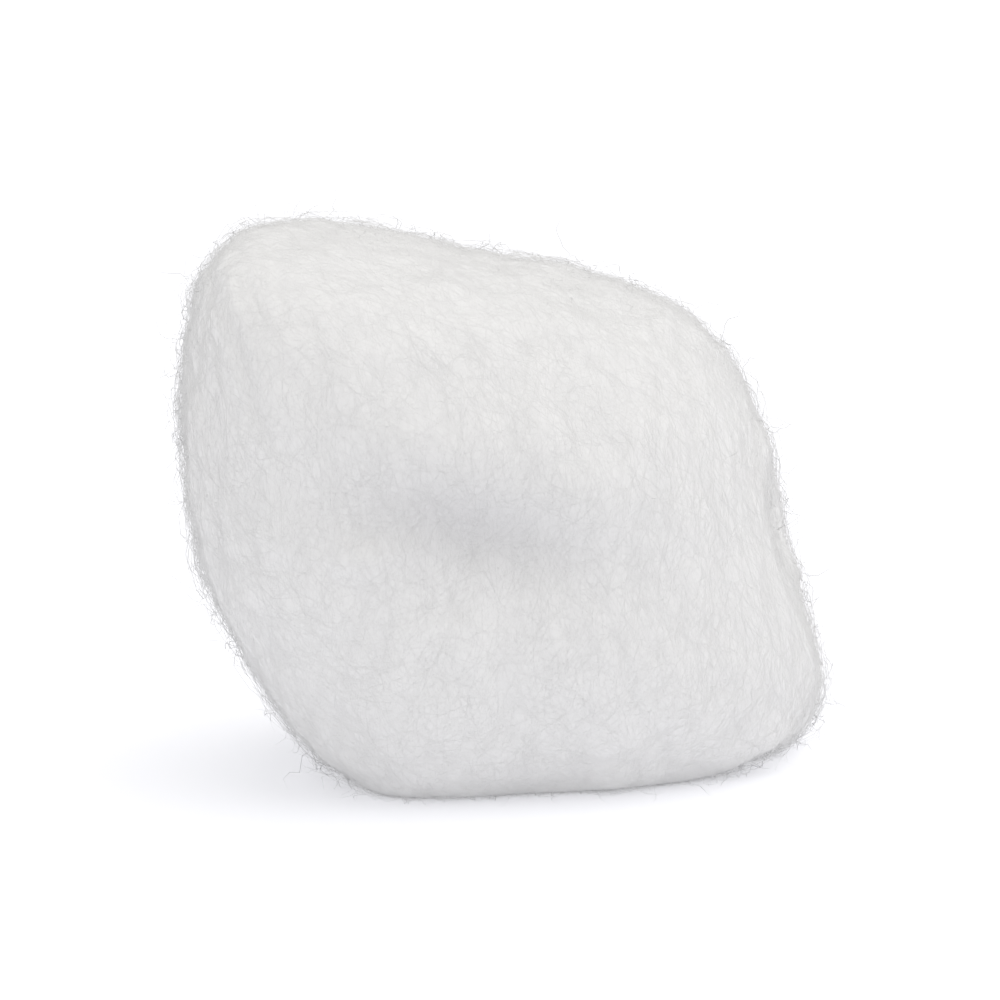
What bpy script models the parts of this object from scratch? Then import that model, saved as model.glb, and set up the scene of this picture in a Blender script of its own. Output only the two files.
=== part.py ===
"""A medium cotton ball: one length of carded cotton sliver, rolled up into a soft squarish wad.

The roll's axis lies along X, so the fibres run round it, down the front and under the sole.
The outer turn ends in a torn tail that is tucked under the front edge. Both ends of the roll
show its turns as a faint swirl, pulled in at the middle. The wad leans to its left, is taller
there, and its right end lies further back. It has a soft dent in the front, and it has spread
and gone flat where it rests.

Metres, +Z up, front towards -Y. The origin is on the sole's plane, under the middle of the wad.
"""

import math

import bmesh
import bpy
from mathutils import Matrix, Vector, noise

MM = 0.001

# The rolled wad before it leans and settles. Squareness is 2 for an ellipse: the wad is
# squarish as seen from the front, more so at its foot, and nearly round in its depth.
ROLL_LENGTH = 27.5 * MM
ROLL_HEIGHT = 27.8 * MM
ROLL_DEPTH = 27.0 * MM
TOP_SQUARENESS = 4.6
FOOT_SQUARENESS = 4.4
DEPTH_SQUARENESS = 2.35

# How it has settled: it leans most in its front half, and only its underside is pressed flat
LEAN_DEG = 13.4
BACK_LEAN_DEG = 9.0
LEFT_TALLER_BY = 6.5 * MM
LEFT_BELLY = 3.5 * MM
BELLY_HEIGHT = 8.0 * MM
RIGHT_END_BACK_BY = 5.6 * MM
RIGHT_CORNER_LIFT = 1.4 * MM
SOLE_PRESS = 1.9 * MM
SOLE_EDGE_SOFTNESS = 0.4 * MM

# The lapped outer turn and its torn tail
LAP_THICKNESS = 0.8 * MM
TAIL_ANGLE_DEG = 150.0
TAIL_RAGGEDNESS = 1.2 * MM
TAIL_TUFT_SIZE = 4.5 * MM
TAIL_REACH_DEG = 50.0

# The swirl of turns on each end, and the tuck at its middle
END_TURNS = 2.5
TURN_GROOVE_DEPTH = 0.5 * MM
PLAIN_RIM = 0.42
TUCK_DEPTH = 1.6 * MM
TUCK_RADIUS = 3.2 * MM

# The soft dent in the front, where the roll buckled between an upper and a lower fold
DENT_DEPTH = 1.3 * MM
DENT_WIDTH = 12.0 * MM
DENT_HEIGHT = 6.4 * MM
DENT_ABOVE_SOLE = 16.4 * MM
DENT_LEFT_OF_MIDDLE = 1.6 * MM
DENT_RISE_TO_LEFT_DEG = 14.0

# Soft unevenness of hand-sized wads
LUMP_SIZE = 9.0 * MM
LUMP_HEIGHT = 0.45 * MM
PUCKER_SIZE = 3.4 * MM
PUCKER_HEIGHT = 0.16 * MM

# Where each chance pattern is read, so that it comes out the same each time
LUMP_PLACE = (5.4, 17.6, 1.3)
PUCKER_PLACE = (4.5, 12.6, 5.0)
TUFT_PLACE = (0.2, 0.3, 0.7)

# Facets round the roll, and from end to end
FACETS_ROUND = 84
FACETS_ALONG = 68

COTTON_WHITE = (0.93, 0.925, 0.915, 1.0)
COTTON_ROUGHNESS = 0.95


def clear_scene():
    """Removes the objects that the scene already holds."""
    for found in list(bpy.data.objects):
        bpy.data.objects.remove(found, do_unlink=True)


def cotton_material():
    """Matt white carded cotton."""
    material = bpy.data.materials.new("carded_cotton")
    material.use_nodes = True
    shader = material.node_tree.nodes["Principled BSDF"]
    shader.inputs["Base Color"].default_value = COTTON_WHITE
    shader.inputs["Roughness"].default_value = COTTON_ROUGHNESS
    shader.inputs["Metallic"].default_value = 0.0
    material.diffuse_color = COTTON_WHITE
    return material


def bell(distance, width):
    """1 at no distance, falling smoothly to almost nothing past about two widths."""
    return math.exp(-((distance / width) ** 2))


def smooth(value):
    """0 below 0 and 1 above 1, with an even curve between."""
    held = min(max(value, 0.0), 1.0)
    return held * held * (3 - 2 * held)


def uneven(point, place):
    """A smooth value between -1 and 1 that wanders from point to point."""
    return noise.noise(point + Vector(place), noise_basis="PERLIN_NEW")


def turn_angle(across, up):
    """How far round the roll a point lies, in turns: 0 at the top, 1/4 at the front, 1/2 at the sole."""
    return (math.atan2(-across, up) / math.tau) % 1.0


def rounded_block(direction):
    """The point of the rolled wad that lies in a direction from its middle, and its reach.

    Reach is 0 at the middle of an end, and 1 all round the roll's side.
    """
    across, deep, up = (abs(value) for value in direction)
    squareness = TOP_SQUARENESS + (FOOT_SQUARENESS - TOP_SQUARENESS) * smooth(0.5 - direction.z)
    seen_size = (across**squareness + up**squareness) ** (1 / squareness)
    size = (seen_size**DEPTH_SQUARENESS + deep**DEPTH_SQUARENESS) ** (-1 / DEPTH_SQUARENESS)
    section = (up**DEPTH_SQUARENESS + deep**DEPTH_SQUARENESS) ** (1 / DEPTH_SQUARENESS)
    unit = direction * size
    half = Vector((ROLL_LENGTH, ROLL_DEPTH, ROLL_HEIGHT)) / 2
    point = Vector((unit.x * half.x, unit.y * half.y, unit.z * half.z))
    return point, min(section * size, 1.0)


def past_tail(angle):
    """How far past the torn tail a point lies, going on round the roll, in turns from 0 to 1."""
    return (angle - TAIL_ANGLE_DEG / 360) % 1.0


def tear_tail(point, angle):
    """Turns a point near the tail a little about the roll's axis, so that the torn edge is uneven."""
    away = (angle - TAIL_ANGLE_DEG / 360 + 0.5) % 1.0 - 0.5
    hold = bell(away * 360, TAIL_REACH_DEG / 2)
    tufts = uneven(Vector((point.x, 0, 0)) / TAIL_TUFT_SIZE, TUFT_PLACE)
    radius = math.hypot(point.y, point.z)
    turn = TAIL_RAGGEDNESS * tufts * hold / radius if radius > LAP_THICKNESS else 0.0
    return Matrix.Rotation(turn, 3, "X") @ point


def lap_lift(angle, reach):
    """How far the outer turn stands out: most at the tail, and nothing just past its edge."""
    return LAP_THICKNESS * (past_tail(angle) - 0.5) * smooth(reach)


def end_swirl(angle, reach):
    """Depth of the spiral groove between the turns, on the roll's two ends, short of their rim."""
    phase = reach * END_TURNS - past_tail(angle)
    groove = (0.5 + 0.5 * math.cos(math.tau * phase)) ** 2
    on_end = smooth(reach * END_TURNS) * smooth((1 - reach) / PLAIN_RIM - 1)
    return TURN_GROOVE_DEPTH * groove * on_end


def end_tuck(point):
    """Depth of the dimple at the middle of each end, where the sliver's core is pulled in."""
    return TUCK_DEPTH * bell(math.hypot(point.y, point.z), TUCK_RADIUS)


def front_dent(point):
    """How far the front is pulled in at its dent, which rises to the left."""
    if point.y > 0:
        return 0.0
    tilt = math.radians(DENT_RISE_TO_LEFT_DEG)
    right = point.x + DENT_LEFT_OF_MIDDLE
    above = point.z - (DENT_ABOVE_SOLE - ROLL_HEIGHT / 2)
    along = right * math.cos(tilt) - above * math.sin(tilt)
    beside = right * math.sin(tilt) + above * math.cos(tilt)
    return DENT_DEPTH * bell(along, DENT_WIDTH / 2) * bell(beside, DENT_HEIGHT / 2)


def unevenness(point):
    """Broad lumps and smaller puckers that stand out of or into the wad."""
    lump = uneven(point / LUMP_SIZE, LUMP_PLACE)
    pucker = uneven(point / PUCKER_SIZE, PUCKER_PLACE)
    return LUMP_HEIGHT * lump + PUCKER_HEIGHT * pucker


def settle(point):
    """Leans the wad, makes its left side tall and full, and sets its right end back and up a little."""
    out = 2 * point.x / ROLL_LENGTH
    upper = smooth(0.5 + point.z / ROLL_HEIGHT)
    height = point.z - LEFT_TALLER_BY * upper * out / 2
    height += RIGHT_CORNER_LIFT * (1 - upper) * smooth(out)
    back = smooth(2 * point.y / ROLL_DEPTH)
    lean = LEAN_DEG + (BACK_LEAN_DEG - LEAN_DEG) * back
    belly = LEFT_BELLY * smooth(-out) * bell(point.z, BELLY_HEIGHT)
    across = point.x - math.tan(math.radians(lean)) * point.z - belly
    return Vector((across, point.y + RIGHT_END_BACK_BY * out / 2, height))


def shape_point(direction):
    """Where the surface of the wad lies in a direction from its middle."""
    point, reach = rounded_block(direction)
    angle = turn_angle(direction.y, direction.z)
    outward = Vector((0, point.y, point.z)).normalized()
    end_side = math.copysign(1.0, point.x)
    on_end = 1 - smooth(reach)
    point = point + outward * lap_lift(angle, reach)
    point.x -= end_side * (end_swirl(angle, reach) + end_tuck(point) * on_end)
    point.y += front_dent(point)
    point = tear_tail(point, angle)
    point += point.normalized() * unevenness(point)
    return settle(point)


def pressed_height(height):
    """A height above the floor once pressed: 0 below it, with a soft edge where the sole begins."""
    if abs(height) >= SOLE_EDGE_SOFTNESS:
        return max(height, 0.0)
    return (height + SOLE_EDGE_SOFTNESS) ** 2 / (4 * SOLE_EDGE_SOFTNESS)


def press_sole(verts):
    """Stands the wad on its underside, pressed flat there, with the origin under its middle."""
    floor = min(v.co.z for v in verts) + SOLE_PRESS
    for v in verts:
        v.co.z = pressed_height(v.co.z - floor)
    middle = [(min(v.co[k] for v in verts) + max(v.co[k] for v in verts)) / 2 for k in (0, 1)]
    for v in verts:
        v.co.x -= middle[0]
        v.co.y -= middle[1]


def cotton_ball():
    """The whole ball: a ball of facets with its poles on the roll's axis, shaped point by point."""
    bm = bmesh.new()
    bmesh.ops.create_uvsphere(bm, u_segments=FACETS_ROUND, v_segments=FACETS_ALONG, radius=1.0)
    bmesh.ops.rotate(bm, verts=bm.verts, cent=(0, 0, 0), matrix=Matrix.Rotation(math.pi / 2, 3, "Y"))
    for v in bm.verts:
        v.co = shape_point(v.co.normalized())
    press_sole(bm.verts)
    bmesh.ops.recalc_face_normals(bm, faces=bm.faces)
    mesh = bpy.data.meshes.new("cotton_ball")
    bm.to_mesh(mesh)
    bm.free()
    mesh.shade_smooth()
    mesh.materials.append(cotton_material())
    ball = bpy.data.objects.new("cotton_ball", mesh)
    bpy.context.scene.collection.objects.link(ball)
    return ball


clear_scene()
cotton_ball()
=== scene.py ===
# %% [markdown]
# # A cotton ball
#
# A cotton ball is a short length of sliver, the soft rope of combed cotton that a carding
# machine gives, rolled up into a wad about 30 mm across. Nothing holds it but its own fibres.
# So it has no skin: what looks like a surface is where the fibres lie close enough together to
# stop the light, and past it stands a thin fuzz of single fibres.
#
# The solid model has the wad's form at its real size. This script gives it its fibres: a fine
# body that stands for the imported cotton, fibres that lie round it as they came off the card,
# and fuzz that stands off it.

import math

import bmesh
import bpy
import numpy as np
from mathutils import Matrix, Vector, noise
from mathutils.bvhtree import BVHTree


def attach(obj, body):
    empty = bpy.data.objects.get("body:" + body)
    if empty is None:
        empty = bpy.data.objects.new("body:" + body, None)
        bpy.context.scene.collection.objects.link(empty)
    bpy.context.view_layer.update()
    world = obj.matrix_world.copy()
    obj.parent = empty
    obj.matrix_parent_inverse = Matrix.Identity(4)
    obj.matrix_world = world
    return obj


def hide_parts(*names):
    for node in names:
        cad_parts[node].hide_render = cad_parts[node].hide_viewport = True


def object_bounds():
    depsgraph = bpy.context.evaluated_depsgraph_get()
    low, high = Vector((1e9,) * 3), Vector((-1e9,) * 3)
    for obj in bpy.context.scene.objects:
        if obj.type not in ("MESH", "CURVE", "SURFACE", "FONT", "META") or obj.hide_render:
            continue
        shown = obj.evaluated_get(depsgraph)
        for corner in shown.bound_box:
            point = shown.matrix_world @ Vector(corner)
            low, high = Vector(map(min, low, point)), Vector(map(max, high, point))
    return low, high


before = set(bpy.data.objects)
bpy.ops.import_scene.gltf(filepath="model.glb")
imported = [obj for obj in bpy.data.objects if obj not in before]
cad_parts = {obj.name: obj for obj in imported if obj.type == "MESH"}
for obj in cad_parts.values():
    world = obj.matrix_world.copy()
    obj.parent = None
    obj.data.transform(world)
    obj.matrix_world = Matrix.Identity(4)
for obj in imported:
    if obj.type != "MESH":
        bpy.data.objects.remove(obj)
cad_low, cad_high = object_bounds()
MM = 0.001
print("The solid is", [round(side / MM, 1) for side in cad_high - cad_low], "mm")

# %% [markdown]
# ## The camera
#
# The photograph was taken from in front and a little above, about 13 degrees, with a long
# lens, so the ball hardly tapers with distance. In the photograph the ball is a small part of
# the frame. Here the camera keeps that direction and comes near enough for the ball to fill
# about two thirds of the width, because the fibres are too fine to show from further away.

# %% The camera
CAMERA_ELEVATION = math.radians(13)
CAMERA_DISTANCE = 1.0
BALL_SHARE_OF_WIDTH = 0.64
LOOK_BELOW_MIDDLE = 0.6 * MM
NEAREST_SEEN, FURTHEST_SEEN = 1 * MM, 20.0


def make_camera():
    """A camera at the photograph's angle, with the lens that gives the ball its share."""
    lens = bpy.data.cameras.new("camera")
    lens.clip_start, lens.clip_end = NEAREST_SEEN, FURTHEST_SEEN
    camera = bpy.data.objects.new("camera", lens)
    bpy.context.scene.collection.objects.link(camera)
    bpy.context.scene.camera = camera
    shown_width = (cad_high.x - cad_low.x) / BALL_SHARE_OF_WIDTH
    lens.lens = lens.sensor_width * CAMERA_DISTANCE / shown_width
    aim = (cad_low + cad_high) / 2 - Vector((0, 0, LOOK_BELOW_MIDDLE))
    back = Vector((0, -math.cos(CAMERA_ELEVATION), math.sin(CAMERA_ELEVATION)))
    camera.location = aim + back * CAMERA_DISTANCE
    camera.rotation_mode = "QUATERNION"
    camera.rotation_quaternion = (-back).to_track_quat("-Z", "Y")
    print("The lens is", round(lens.lens), "mm long")


make_camera()

# %% [markdown]
# ## The body of the wad
#
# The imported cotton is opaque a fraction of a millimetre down. It could be made of fibres
# alone, but it would take millions. Instead a closed body stands for it: a copy of the solid's
# mesh, whose flat facets are rounded off by two levels of Catmull-Clark subdivision. Joining
# its triangles into quads first gives an even grid of small faces. The body is then drawn in by
# a little, because a coat of fibres will lie over it.

# %% The body of the wad
SAME_POINT = 0.001 * MM
SUBDIVISION_LEVELS = 2
COAT_DEPTH = 0.15 * MM


def as_object(name, mesh):
    """An object for a mesh, in the scene, at the origin."""
    made = bpy.data.objects.new(name, mesh)
    bpy.context.scene.collection.objects.link(made)
    return made


def applied(obj):
    """Makes an object's modifiers part of its mesh."""
    graph = bpy.context.evaluated_depsgraph_get()
    done = bpy.data.meshes.new_from_object(obj.evaluated_get(graph))
    obj.modifiers.clear()
    old, obj.data = obj.data, done
    done.name = old.name
    bpy.data.meshes.remove(old)


def wad_body():
    """The solid's own form, in faces about 0.2 mm wide."""
    bm = bmesh.new()
    bm.from_mesh(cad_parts["cotton_ball"].data)
    bmesh.ops.remove_doubles(bm, verts=bm.verts, dist=SAME_POINT)
    bmesh.ops.join_triangles(
        bm, faces=bm.faces, angle_face_threshold=math.pi, angle_shape_threshold=math.pi
    )
    mesh = bpy.data.meshes.new("wad")
    bm.to_mesh(mesh)
    bm.free()
    mesh.materials.clear()
    mesh.shade_smooth()
    body = as_object("wad", mesh)
    finer = body.modifiers.new("finer", "SUBSURF")
    finer.levels = finer.render_levels = SUBDIVISION_LEVELS
    applied(body)
    return body


def read_points(mesh):
    """A mesh's vertices as rows of three numbers."""
    found = np.empty(len(mesh.vertices) * 3, np.float32)
    mesh.vertices.foreach_get("co", found)
    return found.reshape(-1, 3).astype(float)


def read_normals(mesh):
    """The direction in which a mesh's surface faces at each vertex."""
    found = np.empty(len(mesh.vertices) * 3, np.float32)
    mesh.vertex_normals.foreach_get("vector", found)
    return found.reshape(-1, 3).astype(float)


wad = wad_body()
print("The body has", len(wad.data.vertices), "points")

# %% [markdown]
# ## Which way the fibres lie
#
# Carding combs the fibres along the sliver, and rolling it up turns them round the roll's
# axis. So they run down the front, under the sole and up the back, and on the two ends they
# follow the turns. Each point of the body gets a place in the sliver: how far it is across the
# fibres, and how far round the roll. A pattern that is stretched along the second follows the
# fibres everywhere. The place is stored on the mesh as an attribute, which a material can
# read, because object coordinates alone can't tell the ends from the sides.

# %% Places in the sliver
AXIS_BELOW_MIDDLE = 1.6 * MM
ROLL_MIDDLE = (cad_low + cad_high) / 2 - Vector((0, 0, AXIS_BELOW_MIDDLE))
ROLL_RADIUS = (cad_high.z - cad_low.z) / 2
ROLL_SKEW = 0.2
ROUND_THE_END = 5.0 * MM
NEAR_THE_AXIS = 0.1 * MM


def from_axis(points):
    """How far points lie along the roll's axis, and back and up from it.

    The axis isn't quite square to the front: its right end is set back.
    """
    along, back, up = (points - np.array(ROLL_MIDDLE)).T
    return along, back - ROLL_SKEW * along, up


def sliver_place(points):
    """For each point, how far it lies across the fibres, and where round the roll."""
    along, back, up = from_axis(points)
    out = np.hypot(back, up)
    across = along + (ROLL_RADIUS - out) * np.tanh(along / ROUND_THE_END)
    round_it = ROLL_RADIUS / np.maximum(out, NEAR_THE_AXIS)
    return np.column_stack([across, back * round_it, up * round_it])


def uneven(point):
    """A smooth number that wanders between about -1 and 1."""
    return noise.noise(Vector(point), noise_basis="PERLIN_NEW")


def pattern(places, across, along, seed):
    """A number for each place that wanders quickly across the fibres and slowly along them."""
    scaled = places / np.array([across, along, along]) + seed
    return np.array([uneven(point) for point in scaled])


def store(mesh, name, values):
    """Keeps a number or a place for each vertex of a mesh where a material can read it."""
    kind, field = ("FLOAT", "value") if values.ndim == 1 else ("FLOAT_VECTOR", "vector")
    attribute = mesh.attributes.new(name, kind, "POINT")
    attribute.data.foreach_set(field, values.astype(np.float32).ravel())


# %% [markdown]
# ## Relief
#
# A real wad isn't smooth: the sliver's wisps lie side by side like soft cords, and tufts swell
# between small pits. Bump in the material could fake that, but the outline would stay smooth
# and so would the mesh. So the body's points are moved in and out along their normals.
# Wisps and tufts are read from noise without its sign, which gives round swellings that meet in
# narrow creases, as clouds do. The patterns that follow the fibres fade out where the roll's
# axis meets its ends, because they would run together there in a star. The dent in the front is
# filled a little at its brow and goes a little deeper at its foot, where one short fold stands
# out. The right side swells at its shoulder and its foot and sinks a little between them, which
# makes it straighter. All of it fades out at the sole, which is pressed flat.

# %% Relief
WISP_WIDTH, WISP_LENGTH, WISP_HEIGHT = 2.6 * MM, 13.0 * MM, 0.30 * MM
STRAND_WIDTH, STRAND_LENGTH, STRAND_HEIGHT = 0.7 * MM, 6.0 * MM, 0.06 * MM
TUFT_SIZE, TUFT_HEIGHT = 3.6 * MM, 0.30 * MM
PUCKER_SIZE, PUCKER_HEIGHT = 1.2 * MM, 0.07 * MM
STRAY_SIZE, STRAY_ACROSS = 7.0 * MM, 1.4 * MM
WISP_SEED, STRAND_SEED, TUFT_SEED, PUCKER_SEED, STRAY_SEED = 11.3, 5.9, 2.9, 8.1, 3.7
CREASE_SOFTNESS, BILLOW_MIDDLE = 0.08, 0.25
FOLD_AT = Vector((-6.2 * MM, 0, 13.4 * MM))
FOLD_LENGTH, FOLD_WIDTH, FOLD_HEIGHT = 4.8 * MM, 1.9 * MM, 0.5 * MM
FOLD_TILT = math.radians(12)
DENT_AT = Vector((-1.5 * MM, 0, 14.8 * MM))
DENT_LENGTH, DENT_WIDTH, DENT_DEPTH = 11.5 * MM, 4.8 * MM, 0.35 * MM
DENT_TILT = math.radians(-14)
BROW_AT = Vector((-1.6 * MM, 0, 17.4 * MM))
BROW_LENGTH, BROW_WIDTH, BROW_HEIGHT = 12.0 * MM, 5.6 * MM, 0.9 * MM
SOLE_FADE = 0.5 * MM
# How deep a pit is for its full painted shade, and how much of that painted shade it gets
PIT_DEPTH, PIT_SHADE = 0.35 * MM, 0.5
CALM_MIDDLE = 4.0 * MM

# For each part of the right side, its place, width and height, in millimetres
RIGHT_SIDE = {
    "shoulder": ((11.2, 4.0, 19.8), 9.0, 0.35),
    "flank": ((14.3, 4.6, 10.6), 7.0, 0.30),
    "hip": ((15.9, 4.2, 5.8), 6.5, -0.40),
    "foot": ((15.2, 0.6, 1.7), 6.0, 0.50),
}


def billows(values):
    """Noise without its sign, whose creases are softened a little."""
    return np.sqrt(values**2 + CREASE_SOFTNESS**2) - BILLOW_MIDDLE


def bell(distance, width):
    """1 at no distance, falling smoothly to almost nothing past one width."""
    return np.exp(-((2 * distance / width) ** 2))


def patch(points, middle, length, width, tilt):
    """1 on a long soft patch of the front, and 0 away from it."""
    right, _, up = (points - np.array(middle)).T
    along = right * math.cos(tilt) + up * math.sin(tilt)
    beside = up * math.cos(tilt) - right * math.sin(tilt)
    return bell(along, length) * bell(beside, width) * (points[:, 1] < 0)


def dent(points):
    """1 at the middle of the dent in the front, and 0 away from it."""
    return patch(points, DENT_AT, DENT_LENGTH, DENT_WIDTH, DENT_TILT)


def right_side(points):
    """How far the right side swells or sinks, from its shoulder down to its foot."""
    height = 0.0
    for place, width, swelling in RIGHT_SIDE.values():
        away = np.linalg.norm(points - np.array(place) * MM, axis=1)
        height = height + swelling * MM * bell(away, width * MM)
    return height


def raise_strands(body):
    """Draws the body in, and moves its points in and out into wisps and tufts.

    Stores each point's place in the sliver, and its painted shade: full in the dent, and up to
    half in the pits of the relief.
    """
    points = read_points(body.data)
    normals = read_normals(body.data)
    places = sliver_place(points)
    places[:, 0] += STRAY_ACROSS * pattern(points, STRAY_SIZE, STRAY_SIZE, STRAY_SEED)
    combed = WISP_HEIGHT * billows(pattern(places, WISP_WIDTH, WISP_LENGTH, WISP_SEED))
    combed += STRAND_HEIGHT * pattern(places, STRAND_WIDTH, STRAND_LENGTH, STRAND_SEED)
    _, back, up = from_axis(points)
    height = combed * np.clip(np.hypot(back, up) / CALM_MIDDLE, 0, 1) ** 2
    height += TUFT_HEIGHT * billows(pattern(points, TUFT_SIZE, TUFT_SIZE, TUFT_SEED))
    height += PUCKER_HEIGHT * pattern(points, PUCKER_SIZE, PUCKER_SIZE, PUCKER_SEED)
    height += FOLD_HEIGHT * patch(points, FOLD_AT, FOLD_LENGTH, FOLD_WIDTH, FOLD_TILT)
    # How deep each point lies in a pit, for the painted shade there
    pits = np.clip(-height / PIT_DEPTH, 0, 1)
    height -= DENT_DEPTH * dent(points)
    height += BROW_HEIGHT * patch(points, BROW_AT, BROW_LENGTH, BROW_WIDTH, DENT_TILT)
    height += right_side(points)
    off_sole = np.clip(points[:, 2] / SOLE_FADE, 0, 1)
    moved = points + normals * ((height - COAT_DEPTH) * off_sole)[:, None]
    moved[:, 2] = np.maximum(moved[:, 2], 0.0)
    body.data.vertices.foreach_set("co", moved.astype(np.float32).ravel())
    body.data.update()
    store(body.data, "sliver_place", places)
    # Painted shade: the dent and the pits are stored so that the material paints them greyer
    store(body.data, "painted_shade", np.maximum(dent(points), PIT_SHADE * pits))
    print("Relief from", round(height.min() / MM, 3), "to", round(height.max() / MM, 3), "mm")


raise_strands(wad)

# %% [markdown]
# ## One fibre
#
# A cotton fibre is 15 to 20 thousandths of a millimetre thick and 10 to 30 mm long, but only a
# short stretch of it shows before it dips into the wad. Here each stretch is a tube of three
# sides, pointed at both ends: a ring of three points, extruded once for each segment, whose
# first and last rings are merged to points. A shape that is repeated thousands of times has to
# be as plain as this.

# %% One fibre
FIBRE_SIDES = 3


def fibre_blank(segments):
    """A straight fibre along Z, of unit radius, with a ring at each whole number from 0."""
    bm = bmesh.new()
    ring = bmesh.ops.create_circle(bm, segments=FIBRE_SIDES, radius=1.0)["verts"]
    rings = [ring]
    edges = bm.edges[:]
    for _ in range(segments):
        grown = bmesh.ops.extrude_edge_only(bm, edges=edges)["geom"]
        ring = [part for part in grown if isinstance(part, bmesh.types.BMVert)]
        edges = [part for part in grown if isinstance(part, bmesh.types.BMEdge)]
        bmesh.ops.translate(bm, verts=ring, vec=(0, 0, 1))
        rings.append(ring)
    for station, ring in ((0, rings[0]), (segments, rings[-1])):
        bmesh.ops.pointmerge(bm, verts=ring, merge_co=(0, 0, station))
    bmesh.ops.recalc_face_normals(bm, faces=bm.faces)
    mesh = bpy.data.meshes.new("fibre")
    bm.to_mesh(mesh)
    bm.free()
    return mesh


# %% [markdown]
# ## Sowing and combing
#
# The fibres start at points spread evenly over the body. Each then creeps along it in short
# steps, and after each step it is set back on the nearest point of the surface, so it follows
# every lump and fold. It heads round the roll, and wanders to either side as it goes. Blender's
# hair could do this, but hair isn't a mesh, and here the fibres have to be one.

# %% Sowing and combing
bvh = BVHTree.FromObject(wad, bpy.context.evaluated_depsgraph_get())


def sown(body, count, rng, weight):
    """Points spread at random over the body, by area times the weight of each face."""
    mesh = body.data
    areas = np.empty(len(mesh.polygons), np.float32)
    mesh.polygons.foreach_get("area", areas)
    centres = np.empty(len(mesh.polygons) * 3, np.float32)
    mesh.polygons.foreach_get("center", centres)
    centres = centres.reshape(-1, 3).astype(float)
    share = areas.astype(float) * weight(centres)
    return centres[rng.choice(len(share), count, p=share / share.sum())]


def round_the_roll(point, normal):
    """The direction along the surface in which the fibres lie at a point."""
    out = point - ROLL_MIDDLE
    along = Vector((0, -out.z, out.y - ROLL_SKEW * out.x))
    along -= along.dot(normal) * normal
    return along.normalized() if along.length > 0 else normal.orthogonal()


def creep(start, heading, step, wander):
    """The points of one fibre's route over the body, and the way the surface faces at each."""
    point, normal, _, _ = bvh.find_nearest(start)
    route, faces = [point], [normal]
    for turn in wander:
        along = round_the_roll(point, normal)
        angle = heading + turn
        course = math.cos(angle) * along + math.sin(angle) * normal.cross(along)
        point, normal, _, _ = bvh.find_nearest(point + step * course)
        route.append(point)
        faces.append(normal)
    return route, faces


def wandering(count, steps, rng, amount):
    """For each fibre, how far it has turned from its heading after each step, in radians."""
    drift = rng.normal(0, amount, (count, steps)).cumsum(1)
    return drift - drift.mean(1, keepdims=True)


def comb(starts, lengths, steps, spread, crimp, rng):
    """Routes for many fibres, as arrays of points and of surface directions."""
    headings = rng.normal(0, spread, len(starts)) + np.pi * rng.integers(0, 2, len(starts))
    wander = wandering(len(starts), steps, rng, crimp)
    routes, faces = [], []
    fibre_facts = zip(starts.tolist(), lengths.tolist(), headings.tolist(), wander.tolist())
    for start, length, heading, turns in fibre_facts:
        route, face = creep(Vector(start), heading, length / steps, turns)
        routes.append(route)
        faces.append(face)
    return np.array(routes), np.array(faces)


# %% [markdown]
# ## From routes to fibres
#
# An Array modifier copies the blank once for each route. Then every copy is bent: the ring
# that was at station 3 of the blank moves to point 3 of its route, and turns to stand square
# across it. Doing this for all fibres at once, with arrays of numbers, takes a moment.
#
# Light that falls on loose cotton passes through many fibres before it comes back, so a coat of
# fibres shades as one soft surface and not as thousands of shiny rods. A path tracer would need
# very many bounces for that. So each fibre's shading normals are set mostly to the way the wad
# faces under it, with only a little of its own roundness left. For the same reason the fibres
# cast no shadow and send no light on to each other: a coat of them would turn grey.

# %% From routes to fibres
FLOOR_GAP = 0.03 * MM
TAPER_MARGIN = 0.25
OWN_ROUNDNESS = 0.24
TONE_STRIP = 0.01
TONE_CHANCE = 0.2
TOO_SHORT = 1e-12


def many(blank, count):
    """A mesh of many copies of a blank, one after the other."""
    stack = as_object("stack", blank)
    copies = stack.modifiers.new("copies", "ARRAY")
    copies.count = count
    copies.use_merge_vertices = False
    copies.use_relative_offset = False
    copies.use_constant_offset = True
    copies.constant_offset_displace = (0, 0, 0)
    applied(stack)
    mesh = stack.data
    bpy.data.objects.remove(stack)
    return mesh


def unit(vectors):
    """Each vector with its length made 1."""
    return vectors / np.maximum(np.linalg.norm(vectors, axis=-1, keepdims=True), TOO_SHORT)


def bend_onto(mesh, stations, routes, faces, radii):
    """Moves each copy of the blank onto its route, with a radius of its own at its middle.

    Gives back the station of each of the blank's points, and the way that all points shade.
    """
    count = len(routes)
    blank = read_points(mesh)[: len(mesh.vertices) // count]
    at = np.round(blank[:, 2]).astype(int)
    heading = unit(np.gradient(routes, axis=1))
    side = unit(np.cross(faces, heading))
    up = np.cross(heading, side)
    own = blank[:, 0][None, :, None] * side[:, at] + blank[:, 1][None, :, None] * up[:, at]
    taper = np.sqrt(np.sin(np.pi * (at + TAPER_MARGIN) / (stations + 2 * TAPER_MARGIN)))
    moved = routes[:, at] + own * (taper * radii[:, None])[:, :, None]
    moved[:, :, 2] = np.maximum(moved[:, :, 2], FLOOR_GAP)
    mesh.vertices.foreach_set("co", moved.reshape(-1).astype(np.float32))
    mesh.update()
    shown = unit(OWN_ROUNDNESS * own + (1 - OWN_ROUNDNESS) * faces[:, at])
    return at, shown.reshape(-1, 3)


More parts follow.
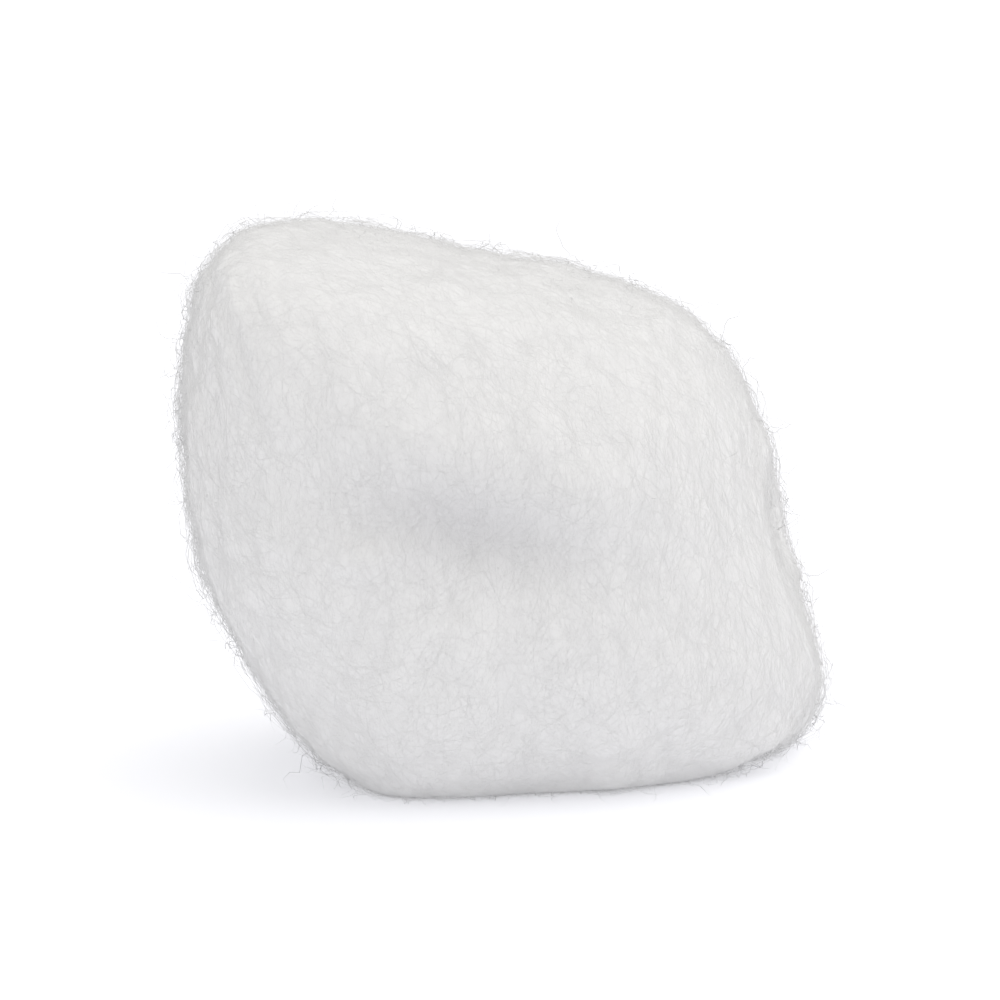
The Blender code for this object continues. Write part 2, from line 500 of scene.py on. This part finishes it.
def lay_uvs(mesh, stations, at, tones_and_shade):
    """A map on which each fibre is a narrow upright strip: its tone and painted shade across, its
    length up.
    """
    corner = np.empty(len(mesh.loops), np.int32)
    mesh.loops.foreach_get("vertex_index", corner)
    fibre, point = np.divmod(corner, len(at))
    wide = np.resize(np.linspace(0, 1, FIBRE_SIDES), len(at))[point]
    uv = np.column_stack([tones_and_shade[fibre] + TONE_STRIP * wide, at[point] / stations])
    layer = mesh.uv_layers.new(name="OFBake")
    layer.uv.foreach_set("vector", uv.astype(np.float32).ravel())


def fibres(name, routes, faces, radii, rng, material):
    """One piece of many fibres, which rides with the wad."""
    stations = routes.shape[1] - 1
    mesh = many(fibre_blank(stations), len(routes))
    at, shown = bend_onto(mesh, stations, routes, faces, radii)
    # Painted shade: a fibre whose middle lies in the dent takes a greyer place on the map, on top
    # of its own random tone
    tones_and_shade = TONE_CHANCE * rng.random(len(routes)) + (1 - TONE_CHANCE) * dent(routes.mean(1))
    lay_uvs(mesh, stations, at, tones_and_shade * (1 - TONE_STRIP))
    mesh.shade_smooth()
    mesh.normals_split_custom_set_from_vertices(shown.tolist())
    piece = as_object(name, mesh)
    mesh.name = name
    mesh.materials.append(material)
    piece.visible_shadow = piece.visible_diffuse = False
    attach(piece, "root")
    mesh.calc_loop_triangles()
    print(name, "has", len(routes), "fibres and", len(mesh.loop_triangles), "triangles")


# %% [markdown]
# ## Writing shader maths
#
# A material is a tree of nodes. Written one by one they hide the idea, so a small class wraps
# a socket, and Python's own operators add the Math nodes: 0.8 + 0.2 * wave is then a Multiply
# and an Add node. Every other node comes from the one method called node.

# %% Writing shader maths
class Wire:
    """A socket in a node tree, which Python's operators can work on."""

    def __init__(self, tree, socket=None):
        self.tree = tree
        self.socket = socket

    def node(self, kind, settings=None, inputs=None, output=0):
        """Adds a node, its settings first, then its sockets' values or links."""
        made = self.tree.nodes.new(kind)
        for name, value in (settings or {}).items():
            setattr(made, name, value)
        for key, value in (inputs or {}).items():
            if isinstance(value, Wire):
                self.tree.links.new(value.socket, made.inputs[key])
            else:
                made.inputs[key].default_value = value
        return Wire(self.tree, made.outputs[output] if made.outputs else None)

    def maths(self, operation, other):
        """This socket and another, or a number, put through a Math node."""
        return self.node("ShaderNodeMath", {"operation": operation}, {0: self, 1: other})

    def __add__(self, other):
        return self.maths("ADD", other)

    def __mul__(self, other):
        return self.maths("MULTIPLY", other)

    __radd__ = __add__
    __rmul__ = __mul__


def new_material(name):
    """An empty node material, and a wire to start its tree from."""
    material = bpy.data.materials.new(name)
    material.use_nodes = True
    material.node_tree.nodes.clear()
    return material, Wire(material.node_tree)


def cloud(tree, places, scale, detail):
    """Noise read at the places given, which are first multiplied by a scale for each axis."""
    scaled = tree.node("ShaderNodeVectorMath", {"operation": "MULTIPLY"}, {0: places, 1: scale})
    return tree.node(
        "ShaderNodeTexNoise", inputs={"Vector": scaled, "Scale": 1.0, "Detail": detail}
    )


def blended(tree, factor, first, second):
    """Two colours mixed by a factor."""
    return tree.node(
        "ShaderNodeMix", {"data_type": "RGBA"}, {0: factor, 6: first, 7: second}, output=2
    )


# %% [markdown]
# ## The cotton's own finish
#
# Bleached cotton is nearly pure white and quite matt. Its colour goes from white to a light grey
# with how far a point lies in the dent and in the pits of the relief: this grey is painted shade,
# which deepens the shade that the soft light gives there. The colour also goes a little grey where
# the sliver is thinner. Roughness is high, with no shine at all, and a thin sheen stands for the
# down that catches light at the rim. A fine bump carries on the strands below the size of the
# mesh.

# %% The cotton's own finish
COTTON = (0.93, 0.925, 0.915, 1)
# A light grey that the colour goes to with the painted shade in the dent and the pits, and where
# the sliver is thinner; the first share below weighs the painted shade
THIN_AND_SHADED_COTTON = (0.74, 0.735, 0.74, 1)
PAINTED_SHADE_SHARE, THIN_SHARE, FLUFF_SHARE = 0.75, 0.15, 0.15
THIN_PLACE_SIZE, CROSSING_SIZE = 5 * MM, 0.3 * MM
FINE_STRAND_WIDTH, FINE_STRAND_LENGTH = 0.35 * MM, 3 * MM
STRAND_PART, CROSSING_PART = 0.6, 0.4
BUMP_HEIGHT = 0.05 * MM
BODY_ROUGHNESS, MORE_ON_FLUFF = 0.85, 0.15
SHEEN = 0.5


def cotton():
    """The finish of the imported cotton."""
    material, tree = new_material("packed_cotton")
    places = tree.node(
        "ShaderNodeAttribute", {"attribute_name": "sliver_place"}, output="Vector"
    )
    points = tree.node("ShaderNodeTexCoord", output="Object")
    thin = cloud(tree, points, (1 / THIN_PLACE_SIZE,) * 3, detail=2)
    along = 1 / FINE_STRAND_LENGTH
    strands = cloud(tree, places, (1 / FINE_STRAND_WIDTH, along, along), detail=3)
    crossing = cloud(tree, points, (1 / CROSSING_SIZE,) * 3, detail=3)
    fluff = strands * STRAND_PART + crossing * CROSSING_PART
    # Painted shade: the dent and the pits are painted greyer, deepening the shade that the light
    # gives there
    painted_shade = tree.node("ShaderNodeAttribute", {"attribute_name": "painted_shade"}, output="Fac")
    shade = painted_shade * PAINTED_SHADE_SHARE + thin * THIN_SHARE + fluff * FLUFF_SHARE
    bump = tree.node(
        "ShaderNodeBump", inputs={"Strength": 1.0, "Distance": BUMP_HEIGHT, "Height": fluff}
    )
    shader = tree.node(
        "ShaderNodeBsdfPrincipled",
        inputs={
            "Base Color": blended(tree, shade, COTTON, THIN_AND_SHADED_COTTON),
            "Roughness": BODY_ROUGHNESS + MORE_ON_FLUFF * fluff,
            "Normal": bump,
            "Specular IOR Level": 0.0,
            "Sheen Weight": SHEEN,
        },
    )
    tree.node("ShaderNodeOutputMaterial", inputs={"Surface": shader})
    return material


wad.data.materials.append(cotton())
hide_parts("cotton_ball")
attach(wad, "root")

# %% [markdown]
# ## The fibres' finish
#
# Single fibres are the same cotton, and differ a little from one to the next. Those that lie in
# the dent are painted greyer, a painted shade like the wad's under them. Each fibre is an upright
# strip on the fibres' own map, and how far across the map it lies says how grey it is, from its
# own tone and the painted shade, so that the colour goes with the fibre. A wave along the strip
# varies it a little more.

# %% The fibres' finish
FIBRE_WHITE = (0.94, 0.935, 0.925, 1)
# The grey that the fibres go to with the painted shade of the dent and with their own darker tones
FIBRE_SHADED = (0.75, 0.745, 0.75, 1)
PLACE_SHARE, WAVE_SHARE = 0.80, 0.12
WAVES_ON_MAP = (40.0, 3.0, 0.0)
FIBRE_ROUGHNESS, MORE_ON_WAVES = 0.8, 0.2


def fibre_finish():
    """The finish of single fibres."""
    material, tree = new_material("single_fibres")
    strip = tree.node("ShaderNodeUVMap", {"uv_map": "OFBake"})
    place = tree.node("ShaderNodeSeparateXYZ", inputs={0: strip}, output="X")
    wave = cloud(tree, strip, WAVES_ON_MAP, detail=1)
    # The place on the map carries the fibre's own tone and the painted shade of the dent
    tone_and_shade = place * PLACE_SHARE + wave * WAVE_SHARE
    shader = tree.node(
        "ShaderNodeBsdfPrincipled",
        inputs={
            "Base Color": blended(tree, tone_and_shade, FIBRE_WHITE, FIBRE_SHADED),
            "Roughness": FIBRE_ROUGHNESS + MORE_ON_WAVES * wave,
            "Specular IOR Level": 0.0,
            "Sheen Weight": SHEEN,
        },
    )
    tree.node("ShaderNodeOutputMaterial", inputs={"Surface": shader})
    return material


FIBRES = fibre_finish()

# %% [markdown]
# ## Fibres that lie on the wad
#
# Most fibres lie down. Each starts and ends inside the body, so that no end shows, and rises
# between them: most of them by a tenth of a millimetre or two, and a few much higher. The
# higher ones thin out gradually, which gives the wad an edge with no hard line.

# %% Fibres that lie on the wad
LAID_PIECES = 4
LAID_COUNT = 5600
LAID_STEPS = 6
LAID_SHORTEST, LAID_LONGEST = 2.5 * MM, 7 * MM
LAID_RADIUS, LAID_THICKNESSES = 0.010 * MM, (0.6, 1.4)
LAID_LIFT, LEAST_LIFT, MOST_LIFT = 0.20 * MM, 0.1, 4.5
LAID_DIP = 0.06 * MM
ARCH_FULLNESS = 0.7
LAID_SPREAD, LAID_CRIMP = 0.85, 0.42
SOLE_EDGE = 0.1 * MM
FIRST_LAID_SEED = 100


def laid_lift(count, steps, rng):
    """How high each point of each lying fibre is above the body: it dips in at both ends."""
    along = np.linspace(0, 1, steps + 1)
    arch = np.sin(np.pi * along) ** ARCH_FULLNESS
    top = LAID_LIFT * rng.exponential(1.0, (count, 1)).clip(LEAST_LIFT, MOST_LIFT)
    return arch * (top + LAID_DIP) - LAID_DIP


def off_the_sole(centres):
    """1 away from the pressed sole, and 0 on it."""
    return (centres[:, 2] > SOLE_EDGE).astype(float)


def lay_fibres(index):
    """One layer of fibres that lie along the sliver."""
    rng = np.random.default_rng(FIRST_LAID_SEED + index)
    starts = sown(wad, LAID_COUNT, rng, off_the_sole)
    lengths = rng.uniform(LAID_SHORTEST, LAID_LONGEST, LAID_COUNT)
    routes, faces = comb(starts, lengths, LAID_STEPS, LAID_SPREAD, LAID_CRIMP, rng)
    routes = routes + faces * laid_lift(LAID_COUNT, LAID_STEPS, rng)[:, :, None]
    radii = LAID_RADIUS * rng.uniform(*LAID_THICKNESSES, LAID_COUNT)
    fibres(f"lying_fibres_{index}", routes, faces, radii, rng, FIBRES)


for layer in range(LAID_PIECES):
    lay_fibres(layer)

# %% [markdown]
# ## Fuzz
#
# Here and there a fibre has worked loose at one end and stands off the wad. Together they make
# the soft, slightly blurred outline that says cotton from across a room. Each starts in the
# body, runs along it for a little, and then rises in a curve.

# %% Fuzz
FUZZ_COUNT = 2800
FUZZ_STEPS = 9
FUZZ_SHORTEST, FUZZ_LONGEST = 1.2 * MM, 4.5 * MM
FUZZ_RADIUS, FUZZ_THICKNESSES = 0.009 * MM, (0.6, 1.3)
FUZZ_HEIGHT, LEAST_FUZZ, MOST_FUZZ = 0.6 * MM, 0.1 * MM, 2.6 * MM
FUZZ_CURVES = (1.0, 2.2)
FUZZ_SPREAD, FUZZ_CRIMP = 1.0, 0.6
FOOT_HEIGHT = 3.0 * MM
MORE_AT_FOOT, MORE_AT_ENDS = 5.0, 1.5
FUZZ_SEED = 7


def loosened(centres):
    """How readily fibres work loose: more so at the foot and at both ends."""
    foot = np.clip(1 - centres[:, 2] / FOOT_HEIGHT, 0, 1)
    ends = np.abs(centres[:, 0] - ROLL_MIDDLE.x) / (cad_high.x - ROLL_MIDDLE.x)
    return off_the_sole(centres) * (1 + MORE_AT_FOOT * foot + MORE_AT_ENDS * ends**2)


def loose_fuzz():
    """Short fibres that stand off the wad at one end."""
    rng = np.random.default_rng(FUZZ_SEED)
    starts = sown(wad, FUZZ_COUNT, rng, loosened)
    lengths = rng.uniform(FUZZ_SHORTEST, FUZZ_LONGEST, FUZZ_COUNT)
    routes, faces = comb(starts, lengths, FUZZ_STEPS, FUZZ_SPREAD, FUZZ_CRIMP, rng)
    along = np.linspace(0, 1, FUZZ_STEPS + 1)
    height = rng.exponential(FUZZ_HEIGHT, (FUZZ_COUNT, 1)).clip(LEAST_FUZZ, MOST_FUZZ)
    rise = along ** rng.uniform(*FUZZ_CURVES, (FUZZ_COUNT, 1))
    routes = routes + faces * (height * rise)[:, :, None]
    radii = FUZZ_RADIUS * rng.uniform(*FUZZ_THICKNESSES, FUZZ_COUNT)
    fibres("fuzz", routes, faces, radii, rng, FIBRES)


loose_fuzz()

# %% [markdown]
# ## The floor and the light
#
# Cotton is photographed on white, in a light with hardly any direction. A lamp like an open
# sky lights it from above with soft shadows, the surroundings fill in the rest, and the white
# floor sends light back up to the underside. The surroundings look pure white whatever they
# give off: Light Path tells the rays that show them, straight or in gloss or glass, from the
# rays that carry their light. The floor glows a little, and a little more in the same rays, so
# that it looks as white and still shows the ball's shadow.

# %% The floor and the light
FLOOR_SIZE = 6.0
FLOOR_WHITE = (0.895, 0.90, 0.935, 1)
FLOOR_GLOW, MORE_GLOW_SEEN = 0.11, 0.11
SKY_LIGHT = 0.70
KEY_LIGHT = 0.98
KEY_COLOUR = (1.0, 0.985, 0.965)
KEY_SOFTNESS = math.radians(70)
KEY_TILT = (math.radians(-6), math.radians(17), 0)


def rays_that_show(tree):
    """1 for a ray that shows the background, straight or in gloss or glass, and 0 for the rest."""
    shown = tree.node("ShaderNodeLightPath", output="Is Camera Ray")
    for ray in ("Is Glossy Ray", "Is Transmission Ray"):
        shown = shown + tree.node("ShaderNodeLightPath", output=ray)
    return shown


def make_floor():
    """A white floor that is part of the stage, and not of the ball."""
    bm = bmesh.new()
    bmesh.ops.create_grid(bm, x_segments=1, y_segments=1, size=FLOOR_SIZE / 2)
    mesh = bpy.data.meshes.new("floor")
    bm.to_mesh(mesh)
    bm.free()
    material, tree = new_material("floor")
    diffuse = tree.node("ShaderNodeBsdfDiffuse", inputs={"Color": FLOOR_WHITE})
    strength = rays_that_show(tree) * MORE_GLOW_SEEN + FLOOR_GLOW
    glow = tree.node("ShaderNodeEmission", inputs={"Strength": strength})
    both = tree.node("ShaderNodeAddShader", inputs={0: diffuse, 1: glow})
    tree.node("ShaderNodeOutputMaterial", inputs={"Surface": both})
    mesh.materials.append(material)
    as_object("floor", mesh)


def make_surroundings():
    """Surroundings that light the ball evenly, and look white to the camera."""
    world = bpy.data.worlds.new("surroundings")
    bpy.context.scene.world = world
    world.use_nodes = True
    world.node_tree.nodes.clear()
    tree = Wire(world.node_tree)
    strength = rays_that_show(tree) * (1 - SKY_LIGHT) + SKY_LIGHT
    sky = tree.node("ShaderNodeBackground", inputs={"Color": (1, 1, 1, 1), "Strength": strength})
    tree.node("ShaderNodeOutputWorld", inputs={"Surface": sky})


def make_key():
    """A soft lamp from above."""
    lamp = bpy.data.lights.new("key", "SUN")
    lamp.energy = KEY_LIGHT
    lamp.color = KEY_COLOUR
    lamp.angle = KEY_SOFTNESS
    key = bpy.data.objects.new("key", lamp)
    key.rotation_euler = KEY_TILT
    bpy.context.scene.collection.objects.link(key)


make_floor()
make_surroundings()
make_key()
bpy.context.scene.view_settings.view_transform = "Standard"
